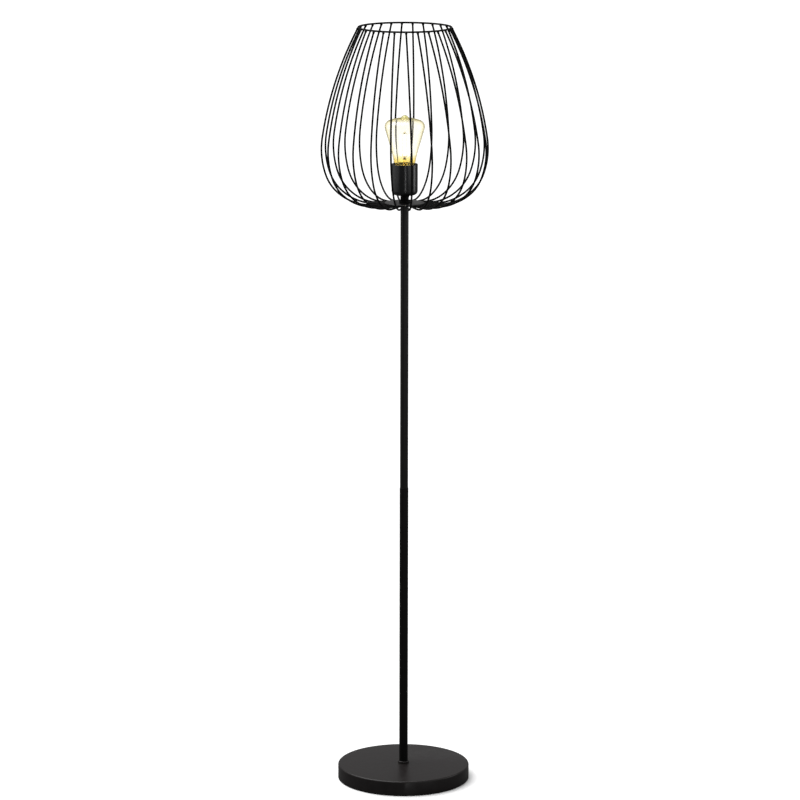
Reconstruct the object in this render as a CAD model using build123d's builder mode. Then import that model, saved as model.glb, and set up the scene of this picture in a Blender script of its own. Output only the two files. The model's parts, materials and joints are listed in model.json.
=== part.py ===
"""Floor lamp: a round weighted base, a two-piece pole and an open wire cage around a bare bulb.

Millimetres, +Z up, front towards -Y. The origin is the centre of the base's underside, on the floor.
Azimuths are counted from the front (-Y) towards +X.
"""

from build123d import *
import os
from math import cos, radians, sin, sqrt, tan

os.makedirs("parts", exist_ok=True)

# ---- clearances ----
FIT = 0.05  # radial play between nested round pieces that don't move
WELD_GAP = 0.05  # what a weld bead closes between a wire and its seat
RUN_GAP = 0.3  # play between the bulb and what holds it

# ---- base ----
BASE_D = 220.0
BASE_HEIGHT = 25.0  # floor to the top face
BASE_SHEET = 1.2
BASE_EDGE_R = 2.5  # rounded top edge
COVER_LIFT = 1.0  # floor to the cover's lower edge
PAD_INSET = 1.4  # the weight's edge to the pad's edge
PAD_THICKNESS = 2.0
WEIGHT_PLAY = 0.4  # radial, between the weight and the cover's wall
WEIGHT_CHAMFER = 2.0
NUT_RECESS_D = 34.0
NUT_RECESS_DEPTH = 16.0  # leaves the cord room to turn up into the threaded tube
CORD_CHANNEL_WIDTH = 14.0
CORD_CHANNEL_DEPTH = 14.0

# ---- cord inlet ----
INLET_HEIGHT = 9.5  # floor to the inlet's centre
INLET_BORE_D = 6.6
GROMMET_NECK_D = 9.0
GROMMET_FLANGE_D = 12.0
GROMMET_FLANGE_THICKNESS = 1.5
GROMMET_EDGE_R = 0.6

# ---- threaded tube, M10 x 1 ----
THREAD_D = 10.0
THREAD_BORE_D = 7.6
THREAD_PITCH = 1.0
NUT_WIDTH = 17.0  # across flats
NUT_HEIGHT = 6.0
WASHER_D = 28.0
NUT_CORNER = 1.06  # rounded corners over flats
WASHER_THICKNESS = 1.6

# ---- pole ----
LOWER_POLE_D = 14.5
UPPER_POLE_D = 13.5
POLE_WALL = 0.8
POLE_JOINT_Z = 500.0
INSERT_LENGTH = 20.0
THREAD_SHORT = 1.5  # how far a threaded tube ends short of its insert's end
FOOT_COLLAR_D = 18.4
FOOT_COLLAR_HEIGHT = 4.0
NECK_COLLAR_D = 18.4
NECK_COLLAR_HEIGHT = 5.0
COLLAR_EDGE_R = 1.0

# ---- wire cage ----
WIRE_D = 3.2
RING_R = 75.7  # to the ring's centre line
RING_Z = 1265.0
BELLY_R = 136.0  # widest, to the wires' centre line
BELLY_Z = 1066.5
BELLY_ARC_R = 126.0
BELLY_TURN_UP = 8.6  # degrees that the belly arc turns above the widest point
BELLY_TURN_DOWN = 19.7  # and below it
HIP_ARC_R = 69.0
HIP_TURN = 29.7
WIRE_FLOOR_Z = 975.0  # the wires' centre line under the hub plate
WIRE_END_R = 20.0
WIRE_LEAN = 1.3  # degrees that each wire leans about its own radius
FIRST_AZIMUTH = -65.7  # of the first wire at the belly
# wires in each stretch and degrees from each to the next: across the front, the right, the back, the left
WIRE_STRETCHES = ((8, 14.1), (5, 14.8), (10, 13.2), (2, 20.6))

# ---- hub ----
HUB_PLATE_D = 65.0
HUB_PLATE_THICKNESS = 2.0
HUB_PLATE_EDGE_R = 0.6
HUB_NUT_D = 18.7
HUB_NUT_HEIGHT = 4.0
SPACER_D = 13.7

# ---- lampholder ----
CUP_D = 43.0
CUP_HEIGHT = 51.0
CUP_BOTTOM_Z = 991.0
CUP_WALL = 1.2
CUP_EDGE_R = 7.0  # outside, at the foot
HOLDER_NUT_HEIGHT = 3.0
HOLDER_NUT_WIDTH = 14.0
HOLDER_BASE_HEIGHT = 11.0
SLEEVE_SETBACK = 1.6  # cup rim to the sleeve's top face
SLEEVE_BORE_D = 30.2
SLEEVE_MOUTH_D = 35.0
SLEEVE_MOUTH_DEPTH = 5.0
SHELL_SHEET = 0.5
HOLDER_WEB = 1.5  # left between the cord bore and the contact groove
CONTACT_STRIP_WIDTH = 5.0
CONTACT_STRIP_THICKNESS = 0.6
CONTACT_GROOVE_DEPTH = 1.2
TONGUE_FOOT = 9.0  # where the centre contact starts to rise, from the axis
TONGUE_TIP = 3.0
SIDE_TAB_HEIGHT = 5.0  # above the holder base
TERMINAL_OFFSET = 14.5  # from the axis
TERMINAL_EDGE = 3.0  # strip left beyond a terminal screw's axis
TERMINAL_POCKET_DEPTH = 4.0
TERMINAL_SCREW_D = 3.5
TERMINAL_HEAD_D = 5.6
TERMINAL_HEAD_HEIGHT = 1.8
TERMINAL_SLOT = 0.8

# ---- bulb ----
BULB_D = 65.8
BULB_WIDEST_ABOVE_RIM = 61.0  # cup rim to the widest point
GLASS_WALL = 0.9
BULB_NECK_R = 11.9
FLARE_IN_R = 6.0
FLARE_OUT_R = 9.0
FLARE_SLOPE = 50.0  # degrees from upright, at the steepest
WAIST_SLOPE = 9.0  # where the glass comes out of the cup
WAIST_R = 200.0
SIDE_SLOPE = 16.5
SHOULDER_R = 11.0
DOME_SLOPE = 20.0  # degrees from level, where the shoulder meets the dome
TIP_R = 6.8
TIP_HEIGHT = 4.2  # above the dome
CAP_THREAD_D = 26.2  # over the ribs
CAP_SHEET = 0.4
CAP_RIB_R = 0.75
CAP_PITCH = 3.62
CAP_RIB_COUNT = 4
CAP_HEIGHT = 20.0
CAP_BELOW_NECK = 0.5  # the cap's top edge under the neck's upper end
CAP_CONE_HEIGHT = 3.0
CAP_FOOT_R = 8.0
NECK_IN_CAP = 8.0
INSULATOR_HEIGHT = 4.0
INSULATOR_BELOW_CAP = 2.5
CONTACT_D = 9.0
CONTACT_HEIGHT = 1.6
STEM_EDGE = 1.5
STEM_TOP_R = 3.0
STEM_HEIGHT = 26.0
STEM_ROD_D = 2.0
STEM_BUTTON_R = 2.0
STEM_ROD_TOP = 10.0  # below the widest point
FILAMENT_BELOW_ROD = 2.5
FILAMENT_D = 1.8
FILAMENT_LENGTH = 34.0
FILAMENT_COUNT = 4
FILAMENT_CIRCLE_R = 6.5
FILAMENT_LEAD_D = 0.7

# ---- heights that follow from the sizes above ----
cover_ceiling_z = BASE_HEIGHT - BASE_SHEET
weight_r = BASE_D / 2 - BASE_SHEET - WEIGHT_PLAY
pad_r = weight_r - PAD_INSET
recess_ceiling_z = PAD_THICKNESS + NUT_RECESS_DEPTH
washer_z = recess_ceiling_z - WASHER_THICKNESS
foot_nut_z = washer_z - NUT_HEIGHT
hub_z = WIRE_FLOOR_Z + WIRE_D / 2 + WELD_GAP  # the hub plate's underside
hub_top_z = hub_z + HUB_PLATE_THICKNESS
spacer_z = hub_top_z + HUB_NUT_HEIGHT
cup_floor_z = CUP_BOTTOM_Z + CUP_WALL
cup_rim_z = CUP_BOTTOM_Z + CUP_HEIGHT
cup_bore_r = CUP_D / 2 - CUP_WALL
holder_nut_top_z = cup_floor_z + HOLDER_NUT_HEIGHT
holder_base_top_z = cup_floor_z + HOLDER_BASE_HEIGHT
sleeve_top_z = cup_rim_z - SLEEVE_SETBACK
clearance_bore_r = THREAD_D / 2 + FIT
hub_thread_low_z = hub_z - INSERT_LENGTH + THREAD_SHORT
hub_thread_top_z = holder_nut_top_z + THREAD_PITCH
groove_floor_z = holder_base_top_z - CONTACT_GROOVE_DEPTH
contact_strip_end = TERMINAL_OFFSET + TERMINAL_EDGE
side_tab_top_z = holder_base_top_z + SIDE_TAB_HEIGHT

bulb_widest_z = cup_rim_z + BULB_WIDEST_ABOVE_RIM
side_reach = (
    BULB_D / 2
    - SHOULDER_R * (1 - cos(radians(SIDE_SLOPE)))
    - BULB_NECK_R
    - FLARE_IN_R * (1 - cos(radians(FLARE_SLOPE)))
    - FLARE_OUT_R * (cos(radians(WAIST_SLOPE)) - cos(radians(FLARE_SLOPE)))
    - WAIST_R * (cos(radians(WAIST_SLOPE)) - cos(radians(SIDE_SLOPE)))
)
side_length = side_reach / sin(radians(SIDE_SLOPE))
neck_top_z = (
    bulb_widest_z
    - SHOULDER_R * sin(radians(SIDE_SLOPE))
    - side_length * cos(radians(SIDE_SLOPE))
    - WAIST_R * (sin(radians(SIDE_SLOPE)) - sin(radians(WAIST_SLOPE)))
    - FLARE_OUT_R * (sin(radians(FLARE_SLOPE)) - sin(radians(WAIST_SLOPE)))
    - FLARE_IN_R * sin(radians(FLARE_SLOPE))
)
neck_low_z = neck_top_z - CAP_BELOW_NECK - NECK_IN_CAP
dome_edge_r = BULB_D / 2 - SHOULDER_R * (1 - sin(radians(DOME_SLOPE)))
dome_r = dome_edge_r / sin(radians(DOME_SLOPE))
dome_top_z = bulb_widest_z + SHOULDER_R * cos(radians(DOME_SLOPE)) + dome_r * (1 - cos(radians(DOME_SLOPE)))
tip_z = dome_top_z + TIP_HEIGHT
rod_top_z = bulb_widest_z - STEM_ROD_TOP
cap_top_z = neck_top_z - CAP_BELOW_NECK
cap_foot_z = cap_top_z - CAP_HEIGHT
first_rib_z = cap_foot_z + CAP_CONE_HEIGHT + 2 * CAP_RIB_R
insulator_z = cap_foot_z - INSULATOR_BELOW_CAP
contact_z = insulator_z - CONTACT_HEIGHT
shell_height = sleeve_top_z - SLEEVE_MOUTH_DEPTH - holder_base_top_z


def keep(piece, name):
    """Label a finished piece and write its file."""
    piece.part.label = name
    export_step(piece.part, f"parts/{name}.step")
    print(f"{name:28s} volume {piece.part.volume:12.1f} mm3")


def tube(outer_r, bore_r, low_z, high_z, edge_r=0.0):
    """A round tube on the lamp's axis, its upper outer edge rounded by edge_r."""
    with BuildPart() as piece:
        with BuildSketch(Plane.XY.offset(low_z)):
            Circle(outer_r)
            Circle(bore_r, mode=Mode.SUBTRACT)
        extrude(amount=high_z - low_z)
        if edge_r:
            fillet(piece.faces().sort_by(Axis.Z)[-1].outer_wire().edges(), radius=edge_r)
    return piece


def hex_nut(width, low_z, height):
    """A hexagon nut on the lamp's axis, with chamfered corners."""
    with BuildPart() as piece:
        with BuildSketch(Plane.XY.offset(low_z)):
            RegularPolygon(radius=width / 2, side_count=6, major_radius=False)
            Circle(clearance_bore_r, mode=Mode.SUBTRACT)
        extrude(amount=height)
        with BuildSketch(Plane.XY.offset(low_z)):
            Circle(width / 2 * NUT_CORNER)
        extrude(amount=height, mode=Mode.INTERSECT)
    return piece


# ======== base ========
with BuildPart() as base_cover:
    with BuildSketch(Plane.XY.offset(COVER_LIFT)):
        Circle(BASE_D / 2)
    extrude(amount=BASE_HEIGHT - COVER_LIFT)
    fillet(base_cover.faces().sort_by(Axis.Z)[-1].edges(), radius=BASE_EDGE_R)
    with BuildSketch(Plane.XY.offset(COVER_LIFT)):
        Circle(BASE_D / 2 - BASE_SHEET)
    extrude(amount=cover_ceiling_z - COVER_LIFT, mode=Mode.SUBTRACT)
    with BuildSketch(Plane.XY.offset(COVER_LIFT)):
        Circle(clearance_bore_r)
    extrude(amount=BASE_HEIGHT - COVER_LIFT, mode=Mode.SUBTRACT)
    with BuildSketch(Plane.XZ.offset(-BASE_D / 2)):
        with Locations((0, INLET_HEIGHT)):
            Circle(GROMMET_NECK_D / 2 + FIT)
    extrude(amount=BASE_D / 2, mode=Mode.SUBTRACT)
keep(base_cover, "base_cover")

with BuildPart() as base_weight:
    with BuildSketch(Plane.XY.offset(PAD_THICKNESS)):
        Circle(weight_r)
    extrude(amount=cover_ceiling_z - PAD_THICKNESS)
    chamfer(base_weight.faces().sort_by(Axis.Z)[-1].edges(), length=WEIGHT_CHAMFER)
    with BuildSketch(Plane.XY.offset(PAD_THICKNESS)):
        Circle(clearance_bore_r)
    extrude(amount=cover_ceiling_z - PAD_THICKNESS, mode=Mode.SUBTRACT)
    with BuildSketch(Plane.XY.offset(PAD_THICKNESS)):
        Circle(NUT_RECESS_D / 2)
    extrude(amount=NUT_RECESS_DEPTH, mode=Mode.SUBTRACT)
    with BuildSketch(Plane.XY.offset(PAD_THICKNESS)):
        with Locations((0, BASE_D / 4)):
            Rectangle(CORD_CHANNEL_WIDTH, BASE_D / 2)
    extrude(amount=CORD_CHANNEL_DEPTH, mode=Mode.SUBTRACT)
keep(base_weight, "base_weight")

with BuildPart() as base_pad:
    with BuildSketch(Plane.XY):
        Circle(pad_r)
    extrude(amount=PAD_THICKNESS)
keep(base_pad, "base_pad")

# the wall's middle at the back, where the grommet's groove sits
inlet_wall_y = BASE_D / 2 - BASE_SHEET / 2
grommet_length = BASE_SHEET + 2 * GROMMET_FLANGE_THICKNESS
with BuildPart() as cord_grommet:
    with BuildSketch(Plane.XZ.offset(-(inlet_wall_y + grommet_length / 2))):
        with Locations((0, INLET_HEIGHT)):
            Circle(GROMMET_FLANGE_D / 2)
    extrude(amount=grommet_length)
    fillet(cord_grommet.edges().filter_by(GeomType.CIRCLE), radius=GROMMET_EDGE_R)
    with BuildSketch(Plane.XY):
        Circle(BASE_D / 2 + FIT)
        Circle(BASE_D / 2 - BASE_SHEET - FIT, mode=Mode.SUBTRACT)
    extrude(amount=BASE_HEIGHT, mode=Mode.SUBTRACT)
    with BuildSketch(Plane.XZ.offset(-(inlet_wall_y + grommet_length / 2))):
        with Locations((0, INLET_HEIGHT)):
            Circle(GROMMET_NECK_D / 2)
    extrude(amount=grommet_length)
    with BuildSketch(Plane.XZ.offset(-(inlet_wall_y + grommet_length / 2))):
        with Locations((0, INLET_HEIGHT)):
            Circle(INLET_BORE_D / 2)
    extrude(amount=grommet_length, mode=Mode.SUBTRACT)
keep(cord_grommet, "cord_grommet")

foot_thread_top_z = BASE_HEIGHT + INSERT_LENGTH - THREAD_SHORT
keep(tube(THREAD_D / 2, THREAD_BORE_D / 2, foot_nut_z - THREAD_PITCH, foot_thread_top_z), "foot_nipple")
keep(tube(WASHER_D / 2, clearance_bore_r, washer_z, recess_ceiling_z), "foot_washer")
keep(hex_nut(NUT_WIDTH, foot_nut_z, NUT_HEIGHT), "foot_nut")
foot_collar_top_z = BASE_HEIGHT + FOOT_COLLAR_HEIGHT
keep(
    tube(FOOT_COLLAR_D / 2, LOWER_POLE_D / 2 + FIT, BASE_HEIGHT, foot_collar_top_z, COLLAR_EDGE_R),
    "foot_collar",
)

# ======== pole ========
lower_bore_r = LOWER_POLE_D / 2 - POLE_WALL
upper_bore_r = UPPER_POLE_D / 2 - POLE_WALL
keep(tube(LOWER_POLE_D / 2, lower_bore_r, BASE_HEIGHT, POLE_JOINT_Z), "lower_pole")
keep(tube(UPPER_POLE_D / 2, upper_bore_r, POLE_JOINT_Z, hub_z), "upper_pole")
for name, bore_r, low_z in (
    ("lower_pole_foot_insert", lower_bore_r, BASE_HEIGHT),
    ("lower_pole_top_insert", lower_bore_r, POLE_JOINT_Z - INSERT_LENGTH),
    ("upper_pole_foot_insert", upper_bore_r, POLE_JOINT_Z),
    ("upper_pole_top_insert", upper_bore_r, hub_z - INSERT_LENGTH),
):
    keep(tube(bore_r - FIT, clearance_bore_r, low_z, low_z + INSERT_LENGTH), name)
coupler_reach = INSERT_LENGTH - THREAD_SHORT
keep(
    tube(THREAD_D / 2, THREAD_BORE_D / 2, POLE_JOINT_Z - coupler_reach, POLE_JOINT_Z + coupler_reach),
    "pole_coupler",
)
with BuildPart() as neck_collar:
    with BuildSketch(Plane.XY.offset(hub_z - NECK_COLLAR_HEIGHT)):
        Circle(NECK_COLLAR_D / 2)
        Circle(UPPER_POLE_D / 2 + FIT, mode=Mode.SUBTRACT)
    extrude(amount=NECK_COLLAR_HEIGHT)
    fillet(neck_collar.faces().sort_by(Axis.Z)[0].outer_wire().edges(), radius=COLLAR_EDGE_R)
keep(neck_collar, "neck_collar")

# ======== wire cage ========
with BuildPart() as top_ring:
    with BuildSketch(Plane.XZ):
        with Locations((RING_R, RING_Z)):
            Circle(WIRE_D / 2)
    revolve(axis=Axis.Z)
keep(top_ring, "top_ring")

ring_rise = (RING_Z - BELLY_Z) / cos(radians(WIRE_LEAN))
ring_sidestep = (RING_Z - BELLY_Z) * tan(radians(WIRE_LEAN))
ring_reach = sqrt(RING_R**2 - ring_sidestep**2) - BELLY_R
floor_drop = (BELLY_Z - WIRE_FLOOR_Z) / cos(radians(WIRE_LEAN))
bowl_slope = BELLY_TURN_DOWN + HIP_TURN
hip_drop = BELLY_ARC_R * sin(radians(BELLY_TURN_DOWN)) + HIP_ARC_R * (
    sin(radians(bowl_slope)) - sin(radians(BELLY_TURN_DOWN))
)
bowl_arc_r = (floor_drop - hip_drop) / (1 - sin(radians(bowl_slope)))
wire_gaps = [gap for count, gap in WIRE_STRETCHES for _ in range(count)]


def cage_wire(azimuth):
    """One wire of the cage, from the top ring over the belly to the hub, in a plane of its own."""
    out = Vector(sin(radians(azimuth)), -cos(radians(azimuth)), 0)
    along = Vector(cos(radians(azimuth)), sin(radians(azimuth)), 0)
    up = Vector(0, 0, cos(radians(WIRE_LEAN))) - along * sin(radians(WIRE_LEAN))
    belly = out * BELLY_R + Vector(0, 0, BELLY_Z)
    wire_plane = Plane(origin=belly, x_dir=out, z_dir=out.cross(up))
    with BuildPart() as wire:
        with BuildLine(wire_plane) as path:
            belly_up = JernArc((0, 0), (0, 1), BELLY_ARC_R, BELLY_TURN_UP)
            ring_seat = wire_plane.from_local_coords((ring_reach, ring_rise))
            TangentArc(belly_up @ 1, ring_seat, tangent=belly_up % 1)
            belly_down = JernArc((0, 0), (0, -1), BELLY_ARC_R, -BELLY_TURN_DOWN)
            hip = JernArc(belly_down @ 1, belly_down % 1, HIP_ARC_R, -HIP_TURN)
            bowl = JernArc(hip @ 1, hip % 1, bowl_arc_r, -(90 - bowl_slope))
            Line(bowl @ 1, wire_plane.from_local_coords((WIRE_END_R - BELLY_R, -floor_drop)))
        line = path.wire()
        with BuildSketch(Plane(origin=line @ 0, z_dir=line % 0)):
            Circle(WIRE_D / 2)
        sweep(path=line)
        with BuildSketch(Plane.XZ):
            with Locations((RING_R, RING_Z)):
                Circle(WIRE_D / 2 + WELD_GAP)
        revolve(axis=Axis.Z, mode=Mode.SUBTRACT)
    return wire


for index in range(len(wire_gaps)):
    wire = cage_wire(FIRST_AZIMUTH + sum(wire_gaps[:index]))
    keep(wire, f"cage_wire_{index + 1:02d}")

# ======== hub ========
with BuildPart() as hub_plate:
    with BuildSketch(Plane.XY.offset(hub_z)):
        Circle(HUB_PLATE_D / 2)
        Circle(clearance_bore_r, mode=Mode.SUBTRACT)
    extrude(amount=HUB_PLATE_THICKNESS)
    fillet(hub_plate.faces().sort_by(Axis.Z)[-1].outer_wire().edges(), radius=HUB_PLATE_EDGE_R)
keep(hub_plate, "hub_plate")
keep(tube(HUB_NUT_D / 2, clearance_bore_r, hub_top_z, spacer_z, COLLAR_EDGE_R), "hub_nut")
keep(tube(SPACER_D / 2, clearance_bore_r, spacer_z, CUP_BOTTOM_Z), "neck_spacer")
keep(tube(THREAD_D / 2, THREAD_BORE_D / 2, hub_thread_low_z, hub_thread_top_z), "hub_nipple")

# ======== lampholder ========
with BuildPart() as holder_cup:
    with BuildSketch(Plane.XY.offset(CUP_BOTTOM_Z)):
        Circle(CUP_D / 2)
    extrude(amount=CUP_HEIGHT)
    fillet(holder_cup.faces().sort_by(Axis.Z)[0].edges(), radius=CUP_EDGE_R)
    with BuildPart(mode=Mode.SUBTRACT) as cup_hollow:
        with BuildSketch(Plane.XY.offset(cup_floor_z)):
            Circle(cup_bore_r)
        extrude(amount=CUP_HEIGHT)
        fillet(cup_hollow.faces().sort_by(Axis.Z)[0].edges(), radius=CUP_EDGE_R - CUP_WALL)
    with BuildSketch(Plane.XY.offset(CUP_BOTTOM_Z)):
        Circle(clearance_bore_r)
    extrude(amount=CUP_WALL, mode=Mode.SUBTRACT)
keep(holder_cup, "holder_cup")
keep(hex_nut(HOLDER_NUT_WIDTH, cup_floor_z, HOLDER_NUT_HEIGHT), "holder_nut")

with BuildPart() as holder_base:
    with BuildSketch(Plane.XY.offset(cup_floor_z)):
        Circle(cup_bore_r - FIT)
    extrude(amount=HOLDER_BASE_HEIGHT)
    fillet(holder_base.faces().sort_by(Axis.Z)[0].edges(), radius=CUP_EDGE_R - CUP_WALL - FIT)
    with BuildSketch(Plane.XY.offset(cup_floor_z)):
        Circle(HOLDER_NUT_WIDTH / 2 * NUT_CORNER + FIT)
    extrude(amount=hub_thread_top_z - cup_floor_z, mode=Mode.SUBTRACT)
    with BuildSketch(Plane.XY.offset(cup_floor_z)):
        Circle(THREAD_BORE_D / 2)
    extrude(amount=HOLDER_BASE_HEIGHT - CONTACT_GROOVE_DEPTH - HOLDER_WEB, mode=Mode.SUBTRACT)
    with BuildSketch(Plane.XY.offset(holder_base_top_z)):
        Rectangle(2 * contact_strip_end, CONTACT_STRIP_WIDTH + 2 * RUN_GAP)
    extrude(amount=-CONTACT_GROOVE_DEPTH, mode=Mode.SUBTRACT)
    with BuildSketch(Plane.XY.offset(cup_floor_z)):
        with Locations((TERMINAL_OFFSET, 0), (-TERMINAL_OFFSET, 0)):
            Circle(TERMINAL_HEAD_D / 2 + RUN_GAP)
    extrude(amount=TERMINAL_POCKET_DEPTH, mode=Mode.SUBTRACT)
    with BuildSketch(Plane.XY.offset(cup_floor_z)):
        with Locations((TERMINAL_OFFSET, 0), (-TERMINAL_OFFSET, 0)):
            Circle(TERMINAL_SCREW_D / 2 + FIT)
    extrude(amount=HOLDER_BASE_HEIGHT, mode=Mode.SUBTRACT)
keep(holder_base, "holder_base")

terminal_seat_z = cup_floor_z + TERMINAL_POCKET_DEPTH
with BuildPart() as terminal_screws:
    with BuildSketch(Plane.XY.offset(terminal_seat_z - TERMINAL_HEAD_HEIGHT)):
        with Locations((TERMINAL_OFFSET, 0), (-TERMINAL_OFFSET, 0)):
            Circle(TERMINAL_HEAD_D / 2)
    extrude(amount=TERMINAL_HEAD_HEIGHT)
    with BuildSketch(Plane.XY.offset(terminal_seat_z)):
        with Locations((TERMINAL_OFFSET, 0), (-TERMINAL_OFFSET, 0)):
            Circle(TERMINAL_SCREW_D / 2)
    extrude(amount=groove_floor_z - terminal_seat_z)
    with BuildSketch(Plane.XY.offset(terminal_seat_z - TERMINAL_HEAD_HEIGHT)):
        with Locations((TERMINAL_OFFSET, 0), (-TERMINAL_OFFSET, 0)):
            Rectangle(TERMINAL_HEAD_D, TERMINAL_SLOT)
    extrude(amount=TERMINAL_SLOT, mode=Mode.SUBTRACT)
keep(terminal_screws, "terminal_screws")

with BuildPart() as holder_sleeve:
    with BuildSketch(Plane.XZ):
        with BuildLine():
            Polyline(
                (SLEEVE_BORE_D / 2, holder_base_top_z),
                (cup_bore_r - FIT, holder_base_top_z),
                (cup_bore_r - FIT, sleeve_top_z),
                (SLEEVE_MOUTH_D / 2, sleeve_top_z),
                (SLEEVE_BORE_D / 2, sleeve_top_z - SLEEVE_MOUTH_DEPTH),
                close=True,
            )
        make_face()
    revolve(axis=Axis.Z)
keep(holder_sleeve, "holder_sleeve")


def ribs(barrel_r, rib_r, low_z, mode=Mode.ADD):
    """Round ribs, or grooves, one thread pitch apart, around the barrel being built."""
    with Locations(*[(0, 0, low_z + index * CAP_PITCH) for index in range(CAP_RIB_COUNT)]):
        Torus(barrel_r, rib_r, mode=mode)


shell_bore_r = CAP_THREAD_D / 2 + RUN_GAP
with BuildPart() as screw_shell:
    with BuildSketch(Plane.XY.offset(holder_base_top_z)):
        Circle(shell_bore_r + SHELL_SHEET)
    extrude(amount=shell_height)
    ribs(shell_bore_r + SHELL_SHEET, CAP_RIB_R, first_rib_z)
    with BuildSketch(Plane.XY.offset(holder_base_top_z)):
        Circle(shell_bore_r)
    extrude(amount=shell_height, mode=Mode.SUBTRACT)
    ribs(shell_bore_r, CAP_RIB_R, first_rib_z, mode=Mode.SUBTRACT)
keep(screw_shell, "screw_shell")

strip_z = groove_floor_z + CONTACT_STRIP_THICKNESS / 2
with BuildPart() as centre_contact:
    with BuildSketch(Plane.XZ.offset(-CONTACT_STRIP_WIDTH / 2)):
        with BuildLine():
            Polyline(
                (-contact_strip_end, strip_z),
                (-TONGUE_FOOT, strip_z),
                (-TONGUE_TIP, contact_z - RUN_GAP - CONTACT_STRIP_THICKNESS / 2),
                (TONGUE_TIP, contact_z - RUN_GAP - CONTACT_STRIP_THICKNESS / 2),
            )
        trace(line_width=CONTACT_STRIP_THICKNESS)
    extrude(amount=CONTACT_STRIP_WIDTH)
keep(centre_contact, "centre_contact")

side_tab_x = sqrt(shell_bore_r**2 - (CONTACT_STRIP_WIDTH / 2) ** 2) - FIT - CONTACT_STRIP_THICKNESS / 2
with BuildPart() as side_contact:
    with BuildSketch(Plane.XZ.offset(-CONTACT_STRIP_WIDTH / 2)):
        with BuildLine():
            Polyline((contact_strip_end, strip_z), (side_tab_x, strip_z), (side_tab_x, side_tab_top_z))
        trace(line_width=CONTACT_STRIP_THICKNESS)
    extrude(amount=CONTACT_STRIP_WIDTH)
keep(side_contact, "side_contact")

# ======== bulb ========
with BuildPart() as bulb_contact:
    with BuildSketch(Plane.XY.offset(contact_z)):
        Circle(CONTACT_D / 2)
    extrude(amount=CONTACT_HEIGHT)
    fillet(bulb_contact.faces().sort_by(Axis.Z)[0].edges(), radius=CONTACT_HEIGHT / 2)
keep(bulb_contact, "bulb_contact")

foot_opening_r = CAP_FOOT_R - CAP_SHEET
with BuildPart() as bulb_insulator:
    with BuildSketch(Plane.XZ):
        with BuildLine():
            Polyline(
                (0, insulator_z),
                (CONTACT_D / 2, insulator_z),
                (foot_opening_r - RUN_GAP, cap_foot_z),
                (foot_opening_r - RUN_GAP, insulator_z + INSULATOR_HEIGHT),
                (0, insulator_z + INSULATOR_HEIGHT),
                close=True,
            )
        make_face()
    revolve(axis=Axis.Z)
keep(bulb_insulator, "bulb_insulator")

cap_r = CAP_THREAD_D / 2 - CAP_RIB_R
with BuildPart() as bulb_cap:
    with BuildSketch(Plane.XZ):
        with BuildLine():
            Polyline(
                (CAP_FOOT_R, cap_foot_z),
                (cap_r, cap_foot_z + CAP_CONE_HEIGHT),
                (cap_r, cap_top_z),
                (cap_r - CAP_SHEET, cap_top_z),
                (cap_r - CAP_SHEET, cap_foot_z + CAP_CONE_HEIGHT + CAP_SHEET),
                (CAP_FOOT_R - CAP_SHEET, cap_foot_z + CAP_SHEET),
                (CAP_FOOT_R - CAP_SHEET, cap_foot_z),
                close=True,
            )
        make_face()
    revolve(axis=Axis.Z)
    ribs(cap_r, CAP_RIB_R, first_rib_z)
    with BuildSketch(Plane.XY.offset(cap_foot_z + CAP_CONE_HEIGHT + CAP_SHEET)):
        Circle(cap_r - CAP_SHEET)
    extrude(amount=cap_top_z - cap_foot_z - CAP_CONE_HEIGHT - CAP_SHEET, mode=Mode.SUBTRACT)
    ribs(cap_r - CAP_SHEET, CAP_RIB_R, first_rib_z, mode=Mode.SUBTRACT)
keep(bulb_cap, "bulb_cap")


def glass_section(inset):
    """Half of the bulb's upright section; inset moves its whole outline inwards."""
    with BuildSketch(Plane.XZ) as section:
        with BuildLine():
            neck = Line((BULB_NECK_R - inset, neck_low_z), (BULB_NECK_R - inset, neck_top_z))
            flare_in = JernArc(neck @ 1, neck % 1, FLARE_IN_R + inset, -FLARE_SLOPE)
            flare_out = JernArc(flare_in @ 1, flare_in % 1, FLARE_OUT_R - inset, FLARE_SLOPE - WAIST_SLOPE)
            waist = JernArc(flare_out @ 1, flare_out % 1, WAIST_R + inset, WAIST_SLOPE - SIDE_SLOPE)
            side = Line(waist @ 1, waist @ 1 + (waist % 1) * side_length)
            shoulder = JernArc(side @ 1, side % 1, SHOULDER_R - inset, SIDE_SLOPE + 90 - DOME_SLOPE)
            dome = JernArc(shoulder @ 1, shoulder % 1, dome_r - inset, DOME_SLOPE)
            Polyline(dome @ 1, (0, neck_low_z), neck @ 0)
        make_face()
    return section.sketch


outer_section = glass_section(0)
inner_section = glass_section(GLASS_WALL)
with BuildPart() as bulb_glass:
    revolve(outer_section, axis=Axis.Z)
    with Locations((0, 0, tip_z - TIP_R)):
        Sphere(TIP_R)
    revolve(inner_section, axis=Axis.Z, mode=Mode.SUBTRACT)
keep(bulb_glass, "bulb_glass")

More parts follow.
